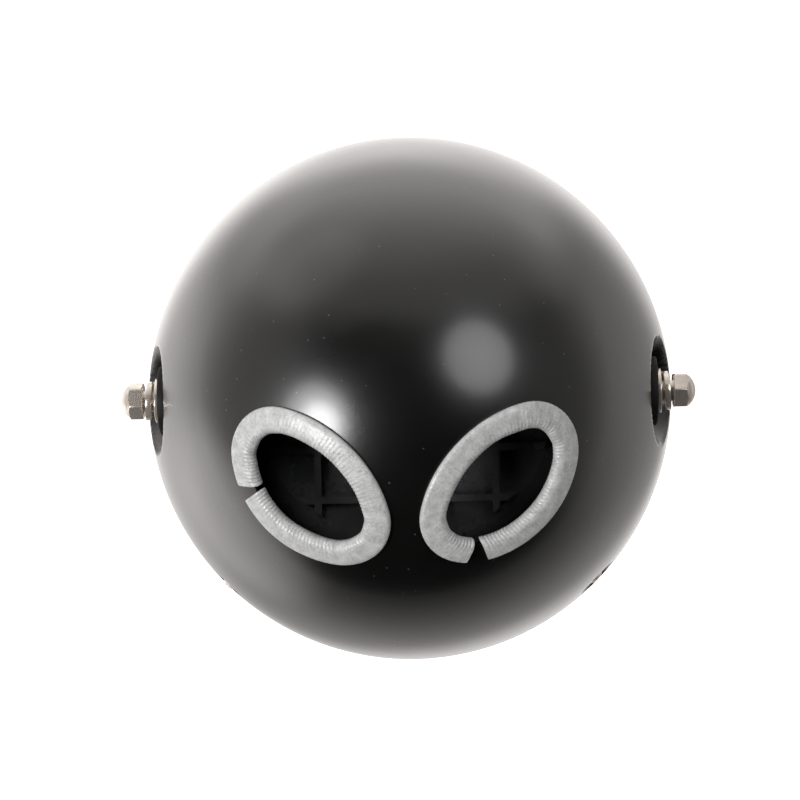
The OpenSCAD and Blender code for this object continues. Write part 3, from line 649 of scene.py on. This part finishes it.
def makeEdgingPiece(name, side, splitTurn, seed):
    shape = edgingShape
    outer, inner = edgingSection()
    section = np.concatenate([outer, inner])
    sheetMiddle = -bucketShape["wall"] / 2
    draw = np.random.default_rng(seed)
    waves = [(draw.integers(3, 15), draw.uniform(0, 6.28), draw.uniform(0.4, 1)) for _ in range(6)]
    start = math.radians(splitTurn)
    turns = start + np.linspace(0, 2 * math.pi, 2000)
    radii = np.array([arcRadius(t) for t in turns]) - 1.5
    lengths = np.concatenate([[0], np.cumsum((radii[1:] + radii[:-1]) / 2 * np.diff(turns))])
    ribs = round(lengths[-1] / shape["ribPitch"])
    rows = []
    for station in range(shape["stations"]):
        part = station / (shape["stations"] - 1)
        plain = np.interp(part * lengths[-1], lengths, turns) - start
        rib = abs(math.sin(part * ribs * math.pi)) ** 0.7 - 0.6
        wander = shape["wander"] * sum(a * math.sin(n * plain + p) for n, p, a in waves) / 3
        row = []
        for i, (off, up) in enumerate(section):
            share = (off + edgingBulb) / (shape["reach"] + edgingBulb)
            opening = shape["splitInner"] + (shape["splitOuter"] - shape["splitInner"]) * share
            half = opening / 2 / (arcRadius(start) + off)
            turn = start + half + (2 * math.pi - 2 * half) * plain / (2 * math.pi)
            if i < len(outer):  # the slot's own walls stay plain
                size = math.hypot(off - 1, up)
                grow = shape["ribDepth"] * rib * shape["ribOnBulb" if off < 0 else "ribOnLegs"]
                off, up = off + (off - 1) / size * grow, up + up / size * grow
                if up > 0:
                    up += shape["wanderUp"] * wander * max(0, (off + 3) / 9)
                if off < 0:
                    off += wander
            across, along = ovalPoint(turn, off)
            height = up + sheetMiddle
            base = math.sqrt(backRadius ** 2 - across * across - along * along)
            row.append(np.array((across, along, base)) * (1 + height / backRadius))
        rows.append(row)
    grid = np.array(rows) @ holeAxes(side) + np.array((0, backY, 0))
    return gridPiece(name, grid, flatEnds=True, sharpAngle=55)


finishPiece(makeEdgingPiece("left_edging", -1, 24, 3), "grey_edging", "left_edge_trim")
finishPiece(makeEdgingPiece("right_edging", 1, 318, 8), "grey_edging", "right_edge_trim")
print("edging made")


# Mount hardware on the side axis: rubber washer, flat washer, split washer and bolt
mountShape = {
    "rubberDiameter": 25.4,
    "rubberThick": 3.6,
    "rubberBulge": 0.12,
    "washerDiameter": 16.4,
    "washerThick": 1.5,
    "springDiameter": 14.2,
    "springSide": 2.1,
    "springHeight": 4.4,
    "springTurn": 100,
    "springGap": 14,
    "boltDiameter": 8,
    "boltLength": 20,
    "hexWidth": 12,
    "hexHeight": 5.7,
    "domeHeight": 2.6,
    "leftTurn": 50,
    "rightTurn": 30,
}
washerX = padX + mountShape["rubberThick"]
springX = washerX + mountShape["washerThick"]
headX = springX + mountShape["springHeight"]
clearRadius = mountShape["boltDiameter"] / 2 + 0.2


def sideAxes(side, x):
    frameAxes = np.array([(0, 0, -1), (0, 1, 0), (1, 0, 0)], float)
    frameAxes[:, 0] *= side
    return frameAxes, np.array((side * x, 0, 0), float)


def roundedRing(inner, outer, thick, soft, bulge=0.0):
    edge = arcPoints((outer - soft, soft), soft, -90, 0, 4)
    if bulge:
        edge += [(outer + bulge, thick / 2)]
    edge += arcPoints((outer - soft, thick - soft), soft, 0, 90, 4)
    bore = [(inner + soft / 2, thick), (inner, thick - soft / 2), (inner, soft / 2)]
    return [(inner + soft / 2, 0)] + edge + bore


def makeSpringWasher(name, side):
    inner, outer, thick = clearRadius, mountShape["springDiameter"] / 2, mountShape["springSide"]
    gap = mountShape["springGap"]
    soft = 0.22
    low, high = soft, thick - soft
    corners = ((outer - soft, low), (outer - soft, high), (inner + soft, high), (inner + soft, low))
    section = []
    for i, corner in enumerate(corners):
        section += arcPoints(corner, soft, 90 * i - 90, 90 * i, 2)
    rows = []
    for part in np.linspace(0, 1, 72):
        turn = math.radians(mountShape["springTurn"] + gap / 2 + (360 - gap) * part)
        rise = (mountShape["springHeight"] - thick) * part
        rows.append([(r * math.cos(turn), r * math.sin(turn), z + rise) for r, z in section])
    frameAxes, origin = sideAxes(side, springX)
    return gridPiece(name, np.array(rows) @ frameAxes + origin, flatEnds=True)


def makeBolt(name, side, turn):
    flat = mountShape["hexWidth"] / 2
    dome = flat - 0.35
    hexHeight, domeHeight = mountShape["hexHeight"], mountShape["domeHeight"]
    turns = np.linspace(0, 2 * math.pi, 240, endpoint=False)
    facet = (turns - math.radians(turn)) % (math.pi / 3) - math.pi / 6
    corner = flat / np.cos(facet)
    hexRadius = softMin(corner, np.full_like(corner, flat / math.cos(math.pi / 6) - 0.12), 0.3)
    rows = []

    def addRow(radius, height):
        radius = radius + 0 * turns
        height = height + 0 * turns
        rows.append(np.stack([radius * np.cos(turns), radius * np.sin(turns), height], axis=-1))

    shank = mountShape["boltDiameter"] / 2
    addRow(shank - 1, -mountShape["boltLength"])
    addRow(shank, -mountShape["boltLength"] + 1)
    addRow(shank, 0)
    # The hexagon, its corners rounded off below and above
    addRow(np.minimum(hexRadius, flat - 0.1), 0)
    addRow(hexRadius - 0.15, 0.12 + (hexRadius - flat) * 0.25)
    addRow(hexRadius, 0.32 + (hexRadius - flat) * 0.25)
    shoulder = hexHeight - 0.25 - (hexRadius - dome) * 0.62
    addRow(hexRadius, shoulder - 0.3)
    addRow(hexRadius - 0.04, shoulder - 0.1)
    addRow(hexRadius - 0.16, shoulder + 0.06)
    addRow(dome + 0.12, hexHeight - 0.2)
    addRow(dome - 0.05, hexHeight - 0.05)
    # The domed cap
    capRadius = (dome * dome + domeHeight * domeHeight) / (2 * domeHeight)
    top = math.asin(dome / capRadius)
    for part in np.linspace(0.97, 0.02, 14):
        height = hexHeight + domeHeight - capRadius + capRadius * math.cos(top * part)
        addRow(capRadius * math.sin(top * part), height)
    frameAxes, origin = sideAxes(side, headX)
    return gridPiece(name, np.array(rows) @ frameAxes + origin, sharpAngle=30)


for side, word in ((-1, "left"), (1, "right")):
    bulge = mountShape["rubberBulge"]
    rubberRadius = mountShape["rubberDiameter"] / 2 - bulge
    section = roundedRing(clearRadius, rubberRadius, mountShape["rubberThick"], 0.7, bulge)
    disc = gridPiece(word + "_rubber_disc", turned(section, sideAxes(side, padX)), wrapRows=True)
    finishPiece(disc, "black_rubber", word + "_rubber_washer")
    section = roundedRing(clearRadius, mountShape["washerDiameter"] / 2, mountShape["washerThick"], 0.3)
    washer = gridPiece(word + "_plain_washer", turned(section, sideAxes(side, washerX)), wrapRows=True)
    finishPiece(washer, "plated_steel", word + "_flat_washer")
    finishPiece(makeSpringWasher(word + "_split_washer", side), "plated_steel", word + "_spring_washer")
    bolt = makeBolt(word + "_domed_bolt", side, mountShape[word + "Turn"])
    finishPiece(bolt, "plated_steel", word + "_mount_bolt")
print("mount hardware made")


# Trim ring: rolled ring with a lip over the lens, and the four posts behind it
ringShape = {
    "outer": 98.25,
    "back": 31,
    "roll": 10.5,
    "thick": 1.2,
    "lip": 3.5,
    "postRadius": 92.1,
    "postDiameter": 6,
    "postBore": 3.9,
    "postBack": 33,
    "postLength": 6,
    "postTurns": (20, 160, 200, 340),
}


def joinPieces(first, others):
    bpy.ops.object.select_all(action="DESELECT")
    for piece in [first, *others]:
        piece.select_set(True)
    bpy.context.view_layer.objects.active = first
    bpy.ops.object.join()
    return first


def makeTrimRing():
    centre = (ringShape["outer"] - ringShape["roll"], ringShape["back"])
    top = ringShape["back"] + ringShape["roll"]
    soft = ringShape["thick"] / 2
    section = arcPoints(centre, ringShape["roll"], 4, 90, 22)
    section += arcPoints((centre[0] - ringShape["lip"], top - soft), soft, 90, 270, 6)
    section += arcPoints(centre, ringShape["roll"] - ringShape["thick"], 90, 4, 18)
    foot = (ringShape["outer"] - soft - 0.02, ringShape["back"] + 0.62)
    section += arcPoints(foot, soft, 180, 360, 6)[1:-1]
    grid = turned(section, axesAlong((0, 1, 0)), 320)
    ring = gridPiece("rolled_ring", grid, wrapRows=True, sharpAngle=60)
    bore, outer, length = ringShape["postBore"] / 2, ringShape["postDiameter"] / 2, ringShape["postLength"]
    profile = [(bore, 0), (outer - 0.3, 0), (outer, 0.3), (outer, length), (bore, length)]
    posts = []
    for turn in np.radians(ringShape["postTurns"]):
        radius, back = ringShape["postRadius"], ringShape["postBack"]
        middle = (radius * math.cos(turn), back, -radius * math.sin(turn))
        grid = turned(profile, axesAlong((0, 1, 0), middle), 40)
        posts.append(gridPiece("post", grid, wrapRows=True))
    return joinPieces(ring, posts)


finishPiece(makeTrimRing(), "ring_black", "trim_ring")
print("trim ring made")


# Ring screws: pan heads with a cross recess, in the dimples
screwShape = {
    "headDiameter": 8.6,
    "headHeight": 2.4,
    "headEdge": 0.5,
    "shank": 5,
    "length": 10.2,
    "slotLength": 4.8,
    "slotWidth": 1,
    "slotDepth": 1.4,
    "slotTurn": 20,
}


def makeRingScrew(name, side):
    radius, height, edge = screwShape["headDiameter"] / 2, screwShape["headHeight"], screwShape["headEdge"]
    shank, length = screwShape["shank"] / 2, screwShape["length"]
    capRadius = (radius * radius + height * height) / (2 * height)
    profile = [(shank - 0.6, -length), (shank, -length + 0.6), (shank, 0)]
    profile += [(radius - 0.15, 0), (radius, 0.15), (radius, edge)]
    top = math.asin(radius / capRadius)
    for part in np.linspace(0.93, 0.03, 12):
        z = height - capRadius + capRadius * math.cos(top * part)
        profile.append((capRadius * math.sin(top * part), max(z, edge + 0.6 * (0.93 - part))))
    axes = axesAlong(screwAxis[side], np.array((0, screwY, 0)) + dimpleFloor * np.array(screwAxis[side]))
    screw = gridPiece(name, turned(profile, axes, 72))
    half, wide = screwShape["slotLength"] / 2, screwShape["slotWidth"] / 2
    corners = [(-half, -wide), (half, -wide), (half, wide), (-half, wide)]
    for turn in (screwShape["slotTurn"], screwShape["slotTurn"] + 90):
        c, s = math.cos(math.radians(turn)), math.sin(math.radians(turn))
        rows = [
            [(x * c - y * s, x * s + y * c, z) for x, y in corners]
            for z in (height - screwShape["slotDepth"], height + 2)
        ]
        cutWith(screw, gridPiece("cutter", np.array(rows) @ axes[0] + axes[1], flatEnds=True))
    screw.data.set_sharp_from_angle(angle=math.radians(35))
    return screw


for side, word in ((-1, "left"), (1, "right")):
    finishPiece(makeRingScrew(word + "_pan_screw", side), "plated_steel", word + "_ring_screw")
print("ring screws made")


# Floor and light
studio = {
    "floorZ": -0.2,
    "floorGlow": 0.5,  # as seen by the camera, on top of the lamps' light
    "leftCore": {"towards": (-0.635, -0.74, -0.22), "distance": 1.3, "size": 0.42, "watts": 6.8},
    "leftBox": {"towards": (-0.66, -0.72, -0.19), "distance": 1.3, "size": 0.74, "watts": 6.5},
    "rightBox": {"towards": (0.567, -0.79, 0.26), "distance": 1.5, "size": 0.88, "watts": 6.2},
    "fillBox": {"towards": (-0.25, -0.9, 0.3), "distance": 1.6, "size": 0.9, "watts": 7, "mirrored": False},
}


def makeFloor():
    mesh = bpy.data.meshes.new("studioFloor")
    z = studio["floorZ"]
    mesh.from_pydata([(-0.8, -0.12, z), (0.8, -0.12, z), (0.8, 1.4, z), (-0.8, 1.4, z)], [], [(0, 1, 2, 3)])
    floor = bpy.data.objects.new("studioFloor", mesh)
    bpy.context.collection.objects.link(floor)
    finish, tree, shader, where = newFinish("palePaper", (0.9, 0.9, 0.9), 0.9)
    cloud = spread(tree, grain(tree, where, 8, 3), 0, 1)
    tint = blendColours(tree, cloud, (0.9, 0.9, 0.9), (0.88, 0.88, 0.88))
    tree.links.new(tint, shader.inputs["Base Color"])
    path = tree.nodes.new("ShaderNodeLightPath")
    seen = compute(tree, "MAXIMUM", path.outputs["Is Camera Ray"], path.outputs["Is Transmission Ray"])
    shader.inputs["Emission Color"].default_value = (1, 1, 1, 1)
    tree.links.new(compute(tree, "MULTIPLY", seen, studio["floorGlow"]), shader.inputs["Emission Strength"])
    mesh.materials.append(finish)
    floor.visible_glossy = False


def makeLamp(name):
    box = studio[name]
    lamp = bpy.data.lights.new(name, "AREA")
    lamp.shape = "DISK"
    lamp.size = box["size"]
    lamp.energy = box["watts"]
    holder = bpy.data.objects.new(name, lamp)
    bpy.context.collection.objects.link(holder)
    towards = Vector(box["towards"]).normalized()
    holder.location = towards * box["distance"]
    holder.rotation_euler = towards.to_track_quat("Z", "Y").to_euler()
    holder.visible_camera = False
    holder.visible_glossy = box.get("mirrored", True)


# Surround: white to the eye. The paint mirrors a bright ceiling and soft cards: each card's light
# grows from nothing to its glow over a span of how far a ray points towards the card.
surround = {
    "tint": (1, 0.97, 0.95),
    "ceiling": {"glow": (0.002, 0.54), "span": (0.46, 0.68), "uneven": 0.06},
    "cards": (
        {"towards": (0, 0, 1), "glow": 0.5, "span": (0.76, 1.05)},
        {"towards": (-1, 0, 0), "glow": 0.5, "span": (0.5, 0.9)},
        {"towards": (1, 0, 0), "glow": 0.26, "span": (0.62, 1)},
        {"towards": (0, 0.95, 0.31), "glow": 0.46, "span": (0, 0.7)},
        {"towards": (0, 0.95, 0.31), "glow": 0.9, "span": (0.84, 1)},
        {"towards": (-0.73, 0.52, -0.45), "glow": 0.8, "span": (0.87, 0.98)},
        {"towards": (-0.5, 0.86, 0.1), "glow": 0.55, "span": (0.86, 1)},
        {"towards": (0.1, 0.97, -0.22), "glow": 0.55, "span": (0.94, 1)},
        {"towards": (-0.56, -0.15, 0.81), "glow": 0.45, "span": (0.9, 0.99)},
    ),
}


def pointing(tree, direction, towards):
    product = tree.nodes.new("ShaderNodeVectorMath")
    product.operation = "DOT_PRODUCT"
    product.inputs[1].default_value = towards
    tree.links.new(direction, product.inputs[0])
    return product.outputs["Value"]


def makeSurround():
    world = bpy.data.worlds.new("whiteStudio")
    bpy.context.scene.world = world
    world.use_nodes = True
    tree = world.node_tree
    shader = tree.nodes["Background"]
    where = tree.nodes.new("ShaderNodeTexCoord").outputs["Generated"]
    ceiling = surround["ceiling"]
    uneven = spread(tree, grain(tree, where, 2.2, 2), -ceiling["uneven"], ceiling["uneven"])
    height = compute(tree, "ADD", pointing(tree, where, (0, 0, 1)), uneven)
    glow = spread(tree, height, *ceiling["glow"], *ceiling["span"], True)
    for card in surround["cards"]:
        facing = pointing(tree, where, card["towards"])
        glow = compute(tree, "ADD", glow, spread(tree, facing, 0, card["glow"], *card["span"], True))
    path = tree.nodes.new("ShaderNodeLightPath")
    seen = compute(tree, "MAXIMUM", path.outputs["Is Camera Ray"], path.outputs["Is Transmission Ray"])
    strength = compute(tree, "MAXIMUM", glow, seen)
    tree.links.new(strength, shader.inputs["Strength"])
    tree.links.new(blendColours(tree, seen, surround["tint"], (1, 1, 1)), shader.inputs["Color"])


makeFloor()
makeSurround()
for lampName in ("leftCore", "leftBox", "rightBox", "fillBox"):
    makeLamp(lampName)
bpy.context.scene.view_settings.view_transform = "Standard"
print("studio made")
